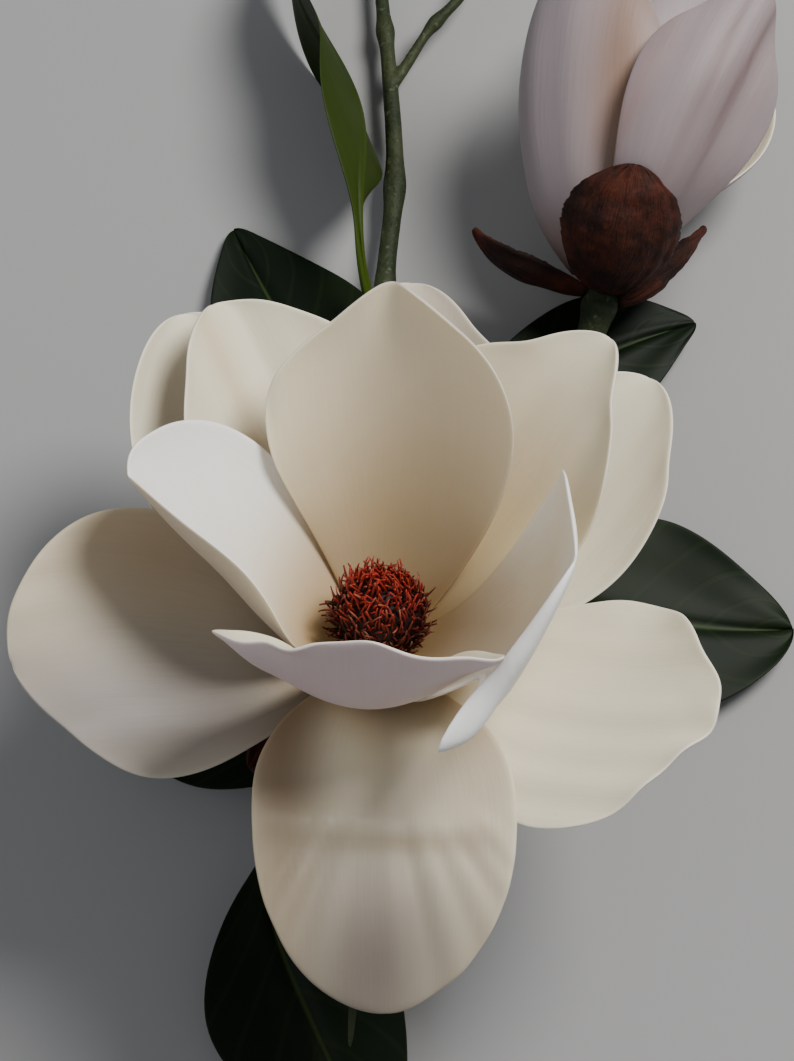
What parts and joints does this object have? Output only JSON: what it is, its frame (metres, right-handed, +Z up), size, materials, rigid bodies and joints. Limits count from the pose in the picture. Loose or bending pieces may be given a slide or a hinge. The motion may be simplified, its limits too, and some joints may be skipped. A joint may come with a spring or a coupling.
{
  "type": "magnolia branch",
  "caption": "Cut magnolia branch lying on a surface: a cream bloom wide open and facing up, a half-open bloom, brown bud scales and long leathery leaves on a green stem.",
  "frame": {"origin": "the middle of the branch's footprint, on the surface it lies on", "axes": "+Z up; +Y along the branch, from its cut end to its tip; +X to the right of someone who looks along +Y"},
  "size_m": [0.2366, 0.5599, 0.1685],
  "materials": {
    "petal": "soft, fleshy and matte, cream inside and greyer outside",
    "leaf": "leathery and half glossy, deep green",
    "young_leaf": "leathery and half glossy, yellowish green",
    "bark": "smooth green bark",
    "scale": "matte red-brown",
    "stamen": "matte dark red with cream tips"
  },
  "bodies": {
    "root": {"stem": "bark", "inner_petal_back": "petal", "inner_petal_front": "petal", "inner_petal_left": "petal", "inner_petal_right": "petal", "middle_petal_right": "petal", "middle_petal_left": "petal", "outer_petal_front": "petal", "outer_petal_right": "petal", "outer_petal_left": "petal", "outer_petal_back": "petal", "outer_petal_back_right": "petal", "outer_petal_back_left": "petal", "bloom_scale_left": "scale", "bloom_scale_right": "scale", "bloom_scale_back": "scale", "bud_petal_heart": "petal", "bud_petal_back_left": "petal", "bud_petal_back": "petal", "bud_petal_right": "petal", "bud_petal_left": "petal", "bud_petal_front": "petal", "bud_scale_front": "scale", "bud_scale_left": "scale", "bud_scale_right": "scale", "stamens": "stamen", "bud_stamens": "stamen", "tip_bud": "young_leaf", "leaf_back_left": "leaf", "leaf_back_right": "leaf", "leaf_right": "leaf", "leaf_left": "leaf", "leaf_front": "leaf", "leaf_upright": "young_leaf", "leaf_tip_right": "leaf", "leaf_tip_left": "leaf"}
  },
  "joints": []
}
